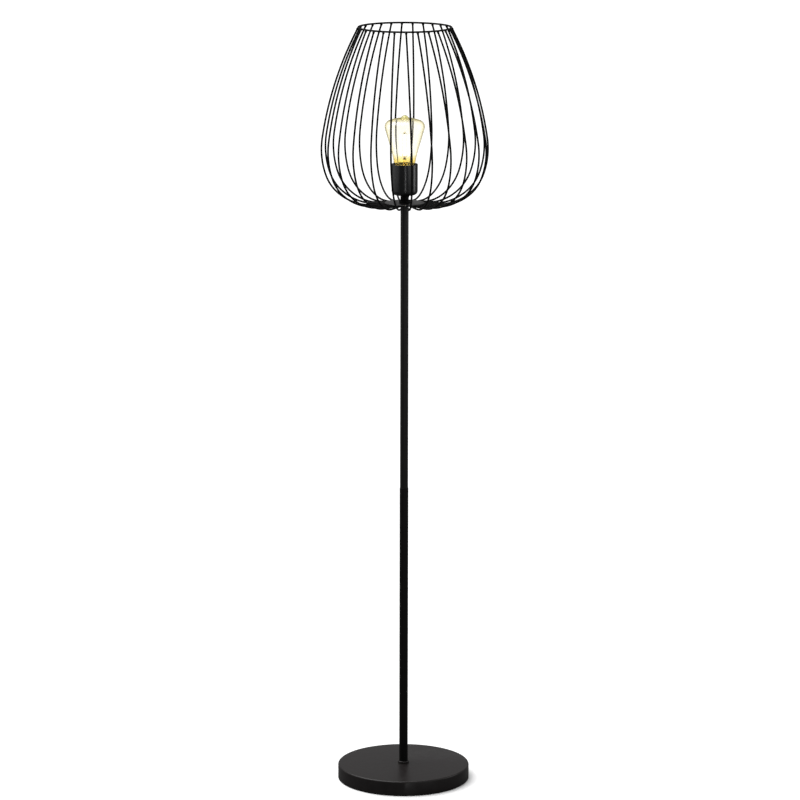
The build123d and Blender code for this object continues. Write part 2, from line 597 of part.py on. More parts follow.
rod_r = STEM_ROD_D / 2
stem_flare_r = BULB_NECK_R - GLASS_WALL - FIT
with BuildPart() as bulb_stem:
    with BuildSketch(Plane.XZ):
        with BuildLine():
            Polyline((0, rod_top_z), (0, neck_low_z), (stem_flare_r, neck_low_z))
            edge = Line((stem_flare_r, neck_low_z), (stem_flare_r, neck_low_z + STEM_EDGE))
            Spline(
                edge @ 1,
                (STEM_TOP_R, neck_low_z + STEM_HEIGHT),
                tangents=((-1, 0.3), (0, 1)),
            )
            Polyline(
                (STEM_TOP_R, neck_low_z + STEM_HEIGHT),
                (rod_r, neck_low_z + STEM_HEIGHT + STEM_TOP_R),
                (rod_r, rod_top_z),
                (0, rod_top_z),
            )
        make_face()
    revolve(axis=Axis.Z)
    with Locations((0, 0, rod_top_z)):
        Sphere(STEM_BUTTON_R)
keep(bulb_stem, "bulb_stem")

filament_high_z = rod_top_z - FILAMENT_BELOW_ROD
filament_low_z = filament_high_z - FILAMENT_LENGTH
with BuildPart() as bulb_filament:
    with BuildSketch(Plane.XY.offset(filament_low_z)):
        with PolarLocations(FILAMENT_CIRCLE_R, FILAMENT_COUNT):
            Circle(FILAMENT_D / 2)
    extrude(amount=FILAMENT_LENGTH)
    lead_length = FILAMENT_CIRCLE_R - rod_r - FIT
    for lead_z in (filament_low_z + FILAMENT_D / 2, filament_high_z - FILAMENT_D / 2):
        with PolarLocations(rod_r + FIT + lead_length / 2, FILAMENT_COUNT):
            with Locations((0, 0, lead_z)):
                Cylinder(FILAMENT_LEAD_D / 2, lead_length, rotation=(0, 90, 0))
keep(bulb_filament, "bulb_filament")
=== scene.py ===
"""The wire cage floor lamp as it looks: powder-coated steel, a satin lampholder and a lit amber bulb.

Every surface is worked out in millimetres and put into its mesh in metres, in the frame of the CAD part:
+Z up, front towards -Y. Azimuths are counted from the front towards +X.
"""

import json
from math import cos, pi, radians, sin, sqrt, tan

import bmesh
import bpy
import numpy as np
from mathutils import Matrix, Vector


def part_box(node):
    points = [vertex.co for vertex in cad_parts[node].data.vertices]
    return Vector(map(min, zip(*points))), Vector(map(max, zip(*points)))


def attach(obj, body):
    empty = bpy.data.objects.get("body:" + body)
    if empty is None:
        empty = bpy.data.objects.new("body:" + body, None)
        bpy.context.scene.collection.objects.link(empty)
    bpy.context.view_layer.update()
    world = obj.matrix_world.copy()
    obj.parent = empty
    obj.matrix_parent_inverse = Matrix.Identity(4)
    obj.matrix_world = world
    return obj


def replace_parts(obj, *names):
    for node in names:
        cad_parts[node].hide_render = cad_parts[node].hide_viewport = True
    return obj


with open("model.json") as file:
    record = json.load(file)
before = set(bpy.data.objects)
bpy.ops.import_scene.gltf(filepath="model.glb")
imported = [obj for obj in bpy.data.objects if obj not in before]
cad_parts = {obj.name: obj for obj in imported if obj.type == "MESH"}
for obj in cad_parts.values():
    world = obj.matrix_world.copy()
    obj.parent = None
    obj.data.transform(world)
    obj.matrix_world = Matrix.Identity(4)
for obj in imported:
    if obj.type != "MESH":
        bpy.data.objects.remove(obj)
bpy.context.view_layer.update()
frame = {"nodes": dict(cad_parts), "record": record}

MM = 0.001
UP = np.array([0.0, 0.0, 1.0])

# ---- sizes repeated from the part, in millimetres and degrees ----
FIT = 0.05
CLEARANCE_BORE_R = 5.05
POLE_WALL = 0.8
BELLY_R = 136.0
BELLY_Z = 1066.5
BELLY_ARC_R = 126.0
BELLY_TURN_UP = 8.6
BELLY_TURN_DOWN = 19.7
HIP_ARC_R = 69.0
HIP_TURN = 29.7
WIRE_FLOOR_Z = 975.0
WIRE_END_R = 20.0
WIRE_LEAN = 1.3
FIRST_AZIMUTH = -65.7
# wires in each stretch and degrees from each to the next: across the front, the right, the back, the left
WIRE_STRETCHES = ((8, 14.1), (5, 14.8), (10, 13.2), (2, 20.6))
CUP_WALL = 1.2
CUP_EDGE_R = 7.0
BULB_NECK_R = 11.9
GLASS_WALL = 0.9
FLARE_IN_R = 6.0
FLARE_OUT_R = 9.0
FLARE_SLOPE = 50.0
WAIST_SLOPE = 9.0
WAIST_R = 200.0
SIDE_SLOPE = 16.5
SHOULDER_R = 11.0
DOME_SLOPE = 20.0
TIP_R = 6.8
CAP_BELOW_NECK = 0.5
CAP_PITCH = 3.62
CAP_SHEET = 0.4
CAP_CONE_HEIGHT = 3.0
CAP_FOOT_R = 8.0
THREAD_DEPTH = 0.75
ROD_R = 1.0
FILAMENT_R = 0.9
FILAMENT_CIRCLE_R = 6.5
FILAMENT_COUNT = 4

# ---- edges as they come off the lathe and the press: fillet radii in millimetres ----
BROKEN_EDGE = 0.2
EASED_EDGE = 0.3
CUP_RIM_EDGE = 0.45
POLE_JOINT_EDGE = 0.5
HUB_DISC_EDGE = 0.6
HUB_NUT_EDGE = 1.2
COLLAR_EDGE = 1.4

# ---- surface detail that only this scene carries, in millimetres ----
RING_BEAD_RISE = 0.5  # how far a wire swells at its weld to the ring
RING_BEAD_PLACE = 2.6  # along the wire, from the middle of the ring's section
RING_BEAD_SPREAD = 1.5
HUB_BEAD_R = 27.5  # from the lamp's axis to a bead under the hub plate
HUB_BEAD_SIDE = 1.5  # from the wire's middle sideways
HUB_BEAD_SINK = 0.5  # below the plate's lower face
HUB_BEAD_HALF = (3.4, 1.3, 1.2)  # half the bead's size outwards, along and up
CROWN_R = 0.98 * TIP_R  # the glass inside this radius is redrawn with its sealed tip
TIP_BLEND = 0.35  # how softly the tip runs into the dome
CAP_RUNOUT = 1.5  # from the thread's end to the cap's top
LEAD_R = 0.3
LEAD_TOP_DROP = 1.5  # below the stem's top, where the upper leads meet the rod
LEAD_FOOT_DROP = 4.0  # below the filament sticks, where the lower leads meet it
LEAD_TOP_BOW = -1.0  # how far the leads curve up or down half-way
LEAD_FOOT_BOW = 1.2

# ---- how finely the surfaces are drawn: counts, and steps in millimetres ----
WIRE_STEP = 3
BEAD_REACH = 9.0  # how much of a wire is drawn in steps of BEAD_STEP for its weld bead
BEAD_STEP = 0.6
GLASS_STEP = 1.0
THREAD_STEP = 0.3
END_RINGS = 3
RING_SIDES = 16
BEAD_SIDES = 12
BEAD_RINGS = 7
BULB_TURNS = 96
TIP_RINGS = 36
STICK_RINGS = 24
LEAD_RINGS = 12
MERGE_M = 1e-6  # places closer than this, in metres, become one


def node_box(node):
    """A node's lowest and highest corner in millimetres."""
    low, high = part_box(node)
    return np.array(low) / MM, np.array(high) / MM


def node_radius(node):
    """The outer radius of a node that is round about the lamp's axis."""
    low, high = node_box(node)
    return (high[1] - low[1]) / 2


def node_heights(node):
    """The lowest and the highest z of a node."""
    low, high = node_box(node)
    return low[2], high[2]


# ======== outlines and surfaces ========
def trail(start, heading, legs, step):
    """A plane line of straight runs and arcs, as complex numbers.

    Each leg is (length, 0) or (radius, turn in degrees, + to the left). On an arc every point is the
    centre plus the start's arm turned by the angle gone so far; on a run it is the start plus the way gone.
    Points lie about a step apart on arcs and two steps apart on runs.
    """
    points = [np.array([complex(*start)])]
    place, way = complex(*start), np.exp(1j * radians(heading))
    for size, turn in legs:
        if turn == 0:
            steps = max(1, int(size / step / 2))
            new = place + way * size * np.arange(1, steps + 1) / steps
        else:
            steps = max(3, int(size * radians(abs(turn)) / step))
            side = 1j if turn > 0 else -1j
            centre = place + side * size * way
            gone = radians(turn) * np.arange(1, steps + 1) / steps
            new = centre + (place - centre) * np.exp(1j * gone)
            way *= np.exp(1j * radians(turn))
        points.append(new)
        place = new[-1]
    return np.concatenate(points)


def arc_to(start, heading, end):
    """The leg (radius, turn) of the one arc that leaves start along heading and ends at end.

    The arc turns by twice the angle from the heading to the chord, and its radius is the chord over twice
    the sine of that angle.
    """
    chord = complex(*end) - complex(*start)
    half = np.angle(chord / np.exp(1j * radians(heading)))
    return abs(chord) / (2 * abs(sin(half))), float(np.degrees(2 * half))


def way_along(line):
    """How far along a line of complex numbers each of its places lies."""
    return np.concatenate([[0], np.cumsum(abs(np.diff(line)))])


def rounded(corners, steps=6):
    """A closed outline of (r, z, fillet radius) corners, each corner rounded by an arc.

    The arc starts and ends where it touches the two sides, a tangent length before and after the corner.
    """
    places = np.array([complex(r, z) for r, z, _ in corners])
    outline = []
    for index, (_, _, radius) in enumerate(corners):
        corner = places[index]
        back = places[index - 1] - corner
        ahead = places[(index + 1) % len(corners)] - corner
        back, ahead = back / abs(back), ahead / abs(ahead)
        opening = np.angle(ahead / back)
        if radius == 0:
            outline.append(np.array([corner]))
            continue
        reach = radius / abs(tan(opening / 2))
        centre = corner + (back + ahead) / abs(back + ahead) * sqrt(reach**2 + radius**2)
        first, last = corner + back * reach - centre, corner + ahead * reach - centre
        sweep = np.angle(last / first)
        outline.append(centre + first * np.exp(1j * sweep * np.linspace(0, 1, steps + 1)))
    return np.concatenate(outline)


def directions(azimuth):
    """The level unit vectors outwards and along, towards growing azimuths, at an azimuth in radians."""
    return np.array([sin(azimuth), -cos(azimuth), 0]), np.array([cos(azimuth), sin(azimuth), 0])


def about_axis(radius, height, azimuth):
    """Places about the lamp's axis: (r sin a, -r cos a, z)."""
    return np.stack([radius * np.sin(azimuth), -radius * np.cos(azimuth), height + 0 * azimuth], axis=-1)


def grid_piece(name, points, loop_rows=True):
    """A mesh object from a grid of points in millimetres, as rows x columns x 3.

    Neighbouring rows and columns are joined by quads. The last column joins the first, and so does the
    last row where the rows loop. Doubles are merged, which closes the poles.
    """
    rows, columns = points.shape[:2]
    number = np.arange(rows * columns).reshape(rows, columns)
    if loop_rows:
        number = np.vstack([number, number[:1]])
    number = np.hstack([number, number[:, :1]])
    quads = np.stack([number[:-1, :-1], number[:-1, 1:], number[1:, 1:], number[1:, :-1]], axis=-1)
    mesh = bpy.data.meshes.new(name)
    mesh.from_pydata((points.reshape(-1, 3) * MM).tolist(), [], quads.reshape(-1, 4).tolist())
    return finished(name, mesh)


def finished(name, mesh, sharp_over=35):
    """Merges the doubles of a mesh, turns its faces outwards, smooths it and puts it into the scene.

    Edges where two faces meet at sharp_over degrees or more stay sharp.
    """
    work = bmesh.new()
    work.from_mesh(mesh)
    bmesh.ops.remove_doubles(work, verts=work.verts, dist=MERGE_M)
    bmesh.ops.recalc_face_normals(work, faces=work.faces)
    for face in work.faces:
        face.smooth = True
    for edge in work.edges:
        if len(edge.link_faces) == 2:
            edge.smooth = edge.calc_face_angle() < radians(sharp_over)
    work.to_mesh(mesh)
    work.free()
    piece = bpy.data.objects.new(name, mesh)
    bpy.context.scene.collection.objects.link(piece)
    return piece


def lathe(name, outline, turns=128):
    """A closed profile of r + i z turned about the lamp's axis."""
    azimuth = np.arange(turns) * 2 * pi / turns
    return grid_piece(name, about_axis(outline.real[:, None], outline.imag[:, None], azimuth))


def tube_points(path, tangent, normal, binormal, radius, sides=14):
    """Rings round a path: place + radius (cos f normal + sin f binormal), with f all the way round.

    Each end is closed by rings that narrow to a point one radius inside it: radius (1 - sin g) in and
    radius sin g wide, for g from 0 to a quarter turn. So the tube is exactly as long as its path.
    """
    around = np.arange(sides) * 2 * pi / sides
    narrow = np.linspace(0, pi / 2, END_RINGS + 1)[:-1]
    inwards = radius[0] * (1 - np.sin(narrow))
    first = path[:1] + tangent[:1] * inwards[:, None]
    last = path[-1:] - tangent[-1:] * inwards[::-1, None]
    girth = np.concatenate([radius[0] * np.sin(narrow), radius, radius[-1] * np.sin(narrow[::-1])])

    def with_ends(axes):
        """The axes of the path's rings, repeated for the rings that close both ends."""
        return np.concatenate([np.repeat(axes[:1], END_RINGS, 0), axes, np.repeat(axes[-1:], END_RINGS, 0)])

    ring = np.cos(around)[None, :, None] * with_ends(normal)[:, None]
    ring = ring + np.sin(around)[None, :, None] * with_ends(binormal)[:, None]
    return np.concatenate([first, path, last])[:, None] + girth[:, None, None] * ring


def bent_wire(name, path, radius, reference, sides):
    """A round wire along any path, its section squared up against a reference direction."""
    tangent = np.gradient(path, axis=0)
    tangent /= np.linalg.norm(tangent, axis=1)[:, None]
    binormal = np.cross(tangent, np.asarray(reference, float))
    binormal /= np.linalg.norm(binormal, axis=1)[:, None]
    normal = np.cross(binormal, tangent)
    points = tube_points(path, tangent, normal, binormal, np.full(len(path), radius), sides)
    return grid_piece(name, points, loop_rows=False)


def joined(name, pieces):
    """Several pieces as one mesh object, their materials kept."""
    with bpy.context.temp_override(
        active_object=pieces[0], selected_objects=pieces, selected_editable_objects=pieces
    ):
        bpy.ops.object.join()
    pieces[0].name = name
    return pieces[0]


# ======== materials ========
def linear(hex_colour):
    """An sRGB hex colour as linear red, green, blue and alpha, by the sRGB transfer curve."""
    values = np.array([int(hex_colour[i : i + 2], 16) for i in (1, 3, 5)]) / 255
    low, high = values / 12.92, ((values + 0.055) / 1.055) ** 2.4
    return (*np.where(values <= 0.04045, low, high), 1.0)


def add(tree, kind, links=None, **settings):
    """A new node of a kind; settings are inputs or properties by name, links are inputs fed by sockets.

    A link's key is the input's name, or its number where several inputs share a name.
    """
    node = tree.nodes.new(kind)
    for name, value in settings.items():
        words = name.replace("_", " ")
        socket = next((s for s in node.inputs if s.name.lower() == words and s.enabled), None)
        if socket is not None:
            socket.default_value = value
        else:
            setattr(node, name, value)
    for name, source in (links or {}).items():
        socket = node.inputs[name] if isinstance(name, int) else next(
            s for s in node.inputs if s.name.lower() == name.replace("_", " ") and s.enabled
        )
        tree.links.new(source, socket)
    return node


def material(name):
    """A new material, its emptied node tree, and the socket of its Object coordinates."""
    made = bpy.data.materials.new(name)
    made.use_nodes = True
    tree = made.node_tree
    tree.nodes.clear()
    place = add(tree, "ShaderNodeTexCoord").outputs["Object"]
    return made, tree, place


def out(tree, shader):
    """Ends a material with its surface shader."""
    add(tree, "ShaderNodeOutputMaterial", {"surface": shader.outputs[0]})


def noise(tree, place, size_mm, detail=2.0, roughness=0.5):
    """Cloudy variation whose lumps are about size_mm wide."""
    scale = 1 / (size_mm * MM)
    links = {"vector": place}
    cloud = add(tree, "ShaderNodeTexNoise", links, scale=scale, detail=detail, roughness=roughness)
    return cloud.outputs["Fac"]


def relief(tree, height, strength, depth_mm):
    """The normal of a surface that follows a height from 0 to 1, depth_mm deep."""
    bump = add(tree, "ShaderNodeBump", {"height": height}, strength=strength, distance=depth_mm * MM)
    return bump.outputs["Normal"]


def spread(tree, fac, low, high):
    """A value from low to high as fac goes from 0.3 to 0.7, the range that noise mostly fills."""
    return add(
        tree, "ShaderNodeMapRange", {0: fac}, from_min=0.3, from_max=0.7, to_min=low, to_max=high
    ).outputs[0]


def colours(tree, fac, stops):
    """A colour that runs through (place, hex colour) stops, by fac."""
    node = add(tree, "ShaderNodeValToRGB", {"fac": fac})
    ramp = node.color_ramp
    while len(ramp.elements) < len(stops):
        ramp.elements.new(1.0)
    for element, (place, colour) in zip(ramp.elements, stops):
        element.position = place
        element.color = linear(colour)
    return node.outputs["Color"]


def shade(tree, fac, dark, light):
    """A colour between two hex colours as fac goes from 0.3 to 0.7, the range that noise mostly fills."""
    return colours(tree, fac, [(0.3, dark), (0.7, light)])


def powder_coat(name, dark, light, rough, depth_mm=0.02, **gloss):
    """Powder coat: baked polyester paint. Matt, even, with the fine pebbled skin that the powder leaves."""
    made, tree, place = material(name)
    # real grain is about 0.3 mm; it is drawn about 0.9 mm wide so that a close view still shows it
    grain = noise(tree, place, 0.9, detail=3.0)
    cloud = noise(tree, place, 14.0)
    links = {
        "base_color": shade(tree, cloud, dark, light),
        "roughness": spread(tree, cloud, rough - 0.03, rough + 0.03),
        "normal": relief(tree, grain, 0.35, depth_mm),
    }
    out(tree, add(tree, "ShaderNodeBsdfPrincipled", links, **gloss))
    return made


def plated(name, colour, clouded_tone, rough):
    """Plated or bare metal: a tinted mirror, a little clouded by handling."""
    made, tree, place = material(name)
    cloud = noise(tree, place, 4.0, detail=4.0)
    links = {
        "base_color": shade(tree, cloud, clouded_tone, colour),
        "roughness": spread(tree, cloud, rough - 0.06, rough + 0.08),
        "normal": relief(tree, noise(tree, place, 0.5), 0.1, 0.01),
    }
    out(tree, add(tree, "ShaderNodeBsdfPrincipled", links, metallic=1.0))
    return made


def mineral(name, dark, light, rough, grain_mm, depth_mm, ior=1.5):
    """A dull solid such as cast concrete, steatite, rubber or moulded resin: grain in colour and relief."""
    made, tree, place = material(name)
    grain = noise(tree, place, grain_mm, detail=6.0, roughness=0.6)
    links = {
        "base_color": shade(tree, grain, dark, light),
        "roughness": spread(tree, grain, rough, rough + 0.1),
        "normal": relief(tree, grain, 0.6, depth_mm),
    }
    out(tree, add(tree, "ShaderNodeBsdfPrincipled", links, ior=ior))
    return made


def blown_glass(name, stops, edges):
    """Soda-lime glass, blown: its colour changes with the height, painted glow included, and deepens where
    the eye meets it edge on.

    The stops are (height in mm, colour) and the edges (1 - cosine of the eye's angle, colour), both rising.
    """
    made, tree, place = material(name)
    ripple = noise(tree, place, 18.0, detail=1.0)
    low, high = stops[0][0], stops[-1][0]
    height = add(tree, "ShaderNodeSeparateXYZ", {"vector": place}).outputs["Z"]
    rise = add(tree, "ShaderNodeMapRange", {0: height}, from_min=low * MM, from_max=high * MM).outputs[0]
    tint_and_glow = colours(tree, rise, [((z - low) / (high - low), colour) for z, colour in stops])
    facing = add(tree, "ShaderNodeLayerWeight", blend=0.5).outputs["Facing"]
    edge = colours(tree, facing, edges)
    both = add(tree, "ShaderNodeVectorMath", {0: tint_and_glow, 1: edge}, operation="MULTIPLY").outputs[0]
    links = {"normal": relief(tree, ripple, 0.15, 0.2), "base_color": both}
    out(tree, add(tree, "ShaderNodeBsdfPrincipled", links, roughness=0.0, ior=1.5, transmission_weight=1.0))
    return made


def lit_phosphor(name, colour, strength):
    """Phosphor over a row of lit diodes: a pale yellow coat that glows, a little unevenly."""
    made, tree, place = material(name)
    glow = noise(tree, place, 1.2)
    shader = add(
        tree,
        "ShaderNodeBsdfPrincipled",
        {"emission_strength": spread(tree, glow, strength * 0.9, strength * 1.1)},
        base_color=linear("#f2d98a"),
        roughness=0.6,
        emission_color=linear(colour),
    )
    out(tree, shader)
    return made


def wool_felt(name):
    """Needled felt: dark, dull, with short tangled fibres and a faint sheen at a flat angle."""
    made, tree, place = material(name)
    fibre = noise(tree, place, 1.5, detail=8.0, roughness=0.8)
    shader = add(
        tree,
        "ShaderNodeBsdfPrincipled",
        {"base_color": shade(tree, fibre, "#121212", "#2a2a2b"), "normal": relief(tree, fibre, 0.8, 0.3)},
        roughness=0.95,
        sheen_weight=0.3,
        sheen_roughness=0.5,
    )
    out(tree, shader)
    return made


# the plate tops take most of their grey from the room they mirror at a flat angle, with the pole dark in it
base_coat = powder_coat("base_powder_coat", "#1a1717", "#1e1b1b", 0.34, specular_ior_level=0.22)
pole_coat = powder_coat("pole_powder_coat", "#0a0909", "#0e0d0c", 0.45, specular_ior_level=0.3)
# the lower tube takes a darker copy of the pole's coat: its darker colour is painted shade, its duller gloss
# a change of roughness and specular
lower_pole_shaded_coat = powder_coat("lower_pole_coat_painted_shade", "#060505", "#090808", 0.5, specular_ior_level=0.14)
# the cage is so thin that its skin only counts as black: a duller coat than the pole's
cage_coat = powder_coat("cage_powder_coat", "#050505", "#090808", 0.6, specular_ior_level=0.12)
hub_coat = powder_coat("hub_powder_coat", "#171616", "#1b1a1a", 0.3)
# satin paint on the drawn lampholder cup: smoother than powder, so it takes soft upright bands of light
cup_coat = powder_coat("cup_satin_paint", "#0f1011", "#131415", 0.24, depth_mm=0.003)
zinc = plated("zinc_plated_steel", "#c8cacc", "#a9acb0", 0.35)
brass = plated("drawn_brass", "#d9b25c", "#b98f3f", 0.28)
nickel = plated("nickel_wire", "#b9b4a8", "#8f8a80", 0.3)
solder = plated("lead_free_solder", "#c4c4c0", "#9c9c98", 0.45)
concrete = mineral("cast_concrete", "#7d7a74", "#a29f98", 0.85, 6.0, 0.4)
steatite = mineral("steatite_ceramic", "#d8d3c6", "#e8e4d9", 0.45, 3.0, 0.03, ior=1.6)
resin = mineral("phenolic_resin", "#0d0d0d", "#151515", 0.4, 2.0, 0.02, ior=1.6)
rubber = mineral("black_rubber", "#101010", "#181818", 0.7, 1.0, 0.03)
vitrite = mineral("black_cap_glass", "#08080a", "#101014", 0.12, 2.5, 0.02, ior=1.52)
felt = wool_felt("needled_felt")
# the glass is clear face on and straw-coloured edge on; the gold at its neck is painted glow from the lit
# filaments, and it turns darker and olive towards its crown
GLASS_EDGES = ((0.4, "#ffffff"), (0.65, "#fef9e2"), (0.88, "#c8b640"))
amber_glass_painted_glow = blown_glass(
    "amber_blown_glass_painted_glow",
    ((1047, "#f9eaa6"), (1058, "#fffdf4"), (1113, "#fffdf4"), (1118, "#dcd493"), (1123, "#b9ab48")),
    GLASS_EDGES,
)
# the gold at the stem's foot is painted glow from the lit filaments
stem_glass = blown_glass("stem_lead_glass_painted_glow", ((1042, "#f8e4a0"), (1054, "#fffbe8")), GLASS_EDGES)
phosphor = lit_phosphor("filament_phosphor", "#ffefc4", 12.0)

SLOT_MATERIALS = {
    "base_paint": base_coat,
    "pole_paint": pole_coat,
    "cage_paint": cage_coat,
    "holder_paint": cup_coat,
    "weight_concrete": concrete,
    "pad_felt": felt,
    "inlet_rubber": rubber,
    "zinc_steel": zinc,
    "holder_plastic": resin,
    "holder_ceramic": steatite,
    "contact_brass": brass,
    "cap_brass": brass,
    "cap_glass": vitrite,
    "solder": solder,
    "bulb_glass": amber_glass_painted_glow,
    "stem_glass": stem_glass,
    "filament": phosphor,
}
SLOT_OF = {part["node"]: part["material_slot"] for part in frame["record"]["subparts"]}
BODY_OF = {node: body for body, nodes in frame["record"]["behaviour"]["bodies"].items() for node in nodes}

for node, thing in frame["nodes"].items():
    thing.data.materials.clear()
    thing.data.materials.append(SLOT_MATERIALS[SLOT_OF[node]])


def stands_for(piece, node, coat=None):
    """Puts a new piece in the place of the CAD node that it stands for."""
    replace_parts(belongs_with(piece, node, coat), node)


def belongs_with(piece, node, coat=None):
    """Gives a piece the body of a node. Its material is the coat, or its own, or that of the node's slot."""
    if coat or not piece.data.materials:
        piece.data.materials.clear()
        piece.data.materials.append(coat or SLOT_MATERIALS[SLOT_OF[node]])
    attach(piece, BODY_OF[node])
    return piece


def smooth_copy(name, node, sharp_over=35):
    """A node's own surface, merged and smoothly shaded, in the node's place."""
    stands_for(finished(name, frame["nodes"][node].data.copy(), sharp_over), node)


def turned_ring(name, node, bore, edges, coat=None):
    """A ring or tube of a node's own height and outer radius, with rounded edges, in the node's place.

    The edges are fillet radii: bore below, outside below, outside above, bore above.
    """
    low, high = node_heights(node)
    outer = node_radius(node)
    places = ((bore, low), (outer, low), (outer, high), (bore, high))
    corners = [(r, z, edge) for (r, z), edge in zip(places, edges)]
    stands_for(lathe(name, rounded(corners)), node, coat)


# ======== base and pole ========
def build_base():
    """The drawn steel cover with its rolled edge, and the small collar at the pole's foot."""
    smooth_copy("base_shell", "base_cover")
    smooth_copy("inlet_grommet", "cord_grommet")
    bore = node_radius("lower_pole") + FIT
    turned_ring("foot_ring", "foot_collar", bore, (0, BROKEN_EDGE, COLLAR_EDGE, EASED_EDGE))


def build_pole():
    """The two screwed pole tubes and the collar that meets the cage."""
    bore = node_radius("lower_pole") - POLE_WALL
    turned_ring("pole_lower", "lower_pole", bore, (0, BROKEN_EDGE, POLE_JOINT_EDGE, 0), lower_pole_shaded_coat)
    bore = node_radius("upper_pole") - POLE_WALL
    turned_ring("pole_upper", "upper_pole", bore, (0, BROKEN_EDGE, BROKEN_EDGE, 0))
    bore = node_radius("upper_pole") + FIT
    turned_ring("neck_ring", "neck_collar", bore, (EASED_EDGE, COLLAR_EDGE, BROKEN_EDGE, 0))


# ======== wire cage ========
ring_outer = node_radius("top_ring")
ring_low, ring_high = node_heights("top_ring")
WIRE_R = (ring_high - ring_low) / 2
RING_R = ring_outer - WIRE_R
RING_Z = (ring_high + ring_low) / 2
wire_gaps = np.repeat([gap for _, gap in WIRE_STRETCHES], [count for count, _ in WIRE_STRETCHES])
WIRE_AZIMUTHS = radians(FIRST_AZIMUTH) + np.radians(np.cumsum(wire_gaps) - wire_gaps)


def wire_line():
    """One wire's centre line in its own plane, as out + i up from the belly, from the ring to the hub.

    The plane leans, so a rise counts 1 / cos(lean) times in it. Upwards run the belly arc and the one arc
    that then ends on the ring. Downwards run the belly arc, the hip arc, a bowl arc that ends level, and a
    level run. The bowl's radius is the drop that the arcs above it leave, over 1 - sin(slope).
    """
    lean = radians(WIRE_LEAN)
    rise = (RING_Z - BELLY_Z) / cos(lean)
    sidestep = (RING_Z - BELLY_Z) * tan(lean)
    reach = sqrt(RING_R**2 - sidestep**2) - BELLY_R
    belly_up = (BELLY_ARC_R, BELLY_TURN_UP)
    shoulder = trail((0, 0), 90, [belly_up], WIRE_STEP)[-1]
    last = arc_to((shoulder.real, shoulder.imag), 90 + BELLY_TURN_UP, (reach, rise))
    up = trail((0, 0), 90, [belly_up, last], WIRE_STEP)

    drop = (BELLY_Z - WIRE_FLOOR_Z) / cos(lean)
    belly_turn, slope = radians(BELLY_TURN_DOWN), radians(BELLY_TURN_DOWN + HIP_TURN)
    hip_drop = BELLY_ARC_R * sin(belly_turn) + HIP_ARC_R * (sin(slope) - sin(belly_turn))
    bowl_r = (drop - hip_drop) / (1 - sin(slope))
    bowl_turn = 90 - BELLY_TURN_DOWN - HIP_TURN
    legs = [(BELLY_ARC_R, -BELLY_TURN_DOWN), (HIP_ARC_R, -HIP_TURN), (bowl_r, -bowl_turn)]
    bottom = trail((0, 0), -90, legs, WIRE_STEP)[-1]
    legs.append((bottom.real + BELLY_R - WIRE_END_R, 0))
    down = trail((0, 0), -90, legs, WIRE_STEP)
    return np.concatenate([up[::-1], down[1:]])


def finer_start(line):
    """The same line with closer places over its first BEAD_REACH, so that a bead has room for its curve."""
    gone = way_along(line)
    places = np.concatenate([np.arange(0, BEAD_REACH, BEAD_STEP), gone[gone >= BEAD_REACH]])
    return np.interp(places, gone, line.real) + 1j * np.interp(places, gone, line.imag)


def cage_wire(index, line):
    """One wire: its plane line set out at its azimuth, with a weld bead where it meets the ring.

    Each place is the belly's plus out times outwards plus up times upwards. The bead is a swelling of the
    section just under the ring: rise exp(-((way along - place) / spread)^2).
    """
    outwards, along = directions(WIRE_AZIMUTHS[index])
    upwards = np.array([0, 0, cos(radians(WIRE_LEAN))]) - along * sin(radians(WIRE_LEAN))
    belly = outwards * BELLY_R + np.array([0, 0, BELLY_Z])
    path = belly + line.real[:, None] * outwards + line.imag[:, None] * upwards
    way = np.gradient(line)
    way /= abs(way)
    tangent = way.real[:, None] * outwards + way.imag[:, None] * upwards
    sideways = way * 1j
    normal = sideways.real[:, None] * outwards + sideways.imag[:, None] * upwards
    binormal = np.broadcast_to(np.cross(outwards, upwards), path.shape)
    bead = RING_BEAD_RISE * np.exp(-(((way_along(line) - RING_BEAD_PLACE) / RING_BEAD_SPREAD) ** 2))
    points = tube_points(path, tangent, normal, binormal, WIRE_R + bead)
    name = f"cage_wire_{index + 1:02d}"
    stands_for(grid_piece(f"wire_{index + 1:02d}", points, loop_rows=False), name)


def hub_welds():
    """Weld beads under the hub plate, two beside each wire, drawn out along it.

    Each is an ellipsoid: half sizes times (cos o, sin o cos f, sin o sin f) outwards, along and up, with o
    from one end to the other and f all the way round.
    """
    plate_low = node_heights("hub_plate")[0]
    sidestep = (BELLY_Z - WIRE_FLOOR_Z) * tan(radians(WIRE_LEAN))
    around = np.arange(BEAD_SIDES) * 2 * pi / BEAD_SIDES
    turn, over = np.meshgrid(around, np.linspace(0, pi, BEAD_RINGS))
    ball = np.stack([np.cos(over), np.sin(over) * np.cos(turn), np.sin(over) * np.sin(turn)], -1)
    ball = ball * np.array(HUB_BEAD_HALF)
    beads = []
    for azimuth in WIRE_AZIMUTHS:
        outwards, along = directions(azimuth)
        for side in (-HUB_BEAD_SIDE, HUB_BEAD_SIDE):
            centre = outwards * HUB_BEAD_R + along * (sidestep + side) + UP * (plate_low - HUB_BEAD_SINK)
            points = centre + ball @ np.stack([outwards, along, UP])
            beads.append(grid_piece("bead", points, loop_rows=False))
    belongs_with(joined("hub_weld_beads", beads), "hub_plate")


def build_cage():
    """The top ring, the wires, and the hub that holds them."""
    around = np.exp(1j * np.arange(RING_SIDES) * 2 * pi / RING_SIDES)
    stands_for(lathe("ring_top", RING_R + 1j * RING_Z + WIRE_R * around, turns=256), "top_ring")
    line = finer_start(wire_line())
    for index in range(len(WIRE_AZIMUTHS)):
        cage_wire(index, line)
    hub_welds()
    bore = CLEARANCE_BORE_R
    turned_ring("hub_disc", "hub_plate", bore, (0, EASED_EDGE, HUB_DISC_EDGE, 0), hub_coat)
    turned_ring("hub_lock_ring", "hub_nut", bore, (0, EASED_EDGE, HUB_NUT_EDGE, 0))
    turned_ring("neck_tube", "neck_spacer", bore, (0, EASED_EDGE, EASED_EDGE, 0))


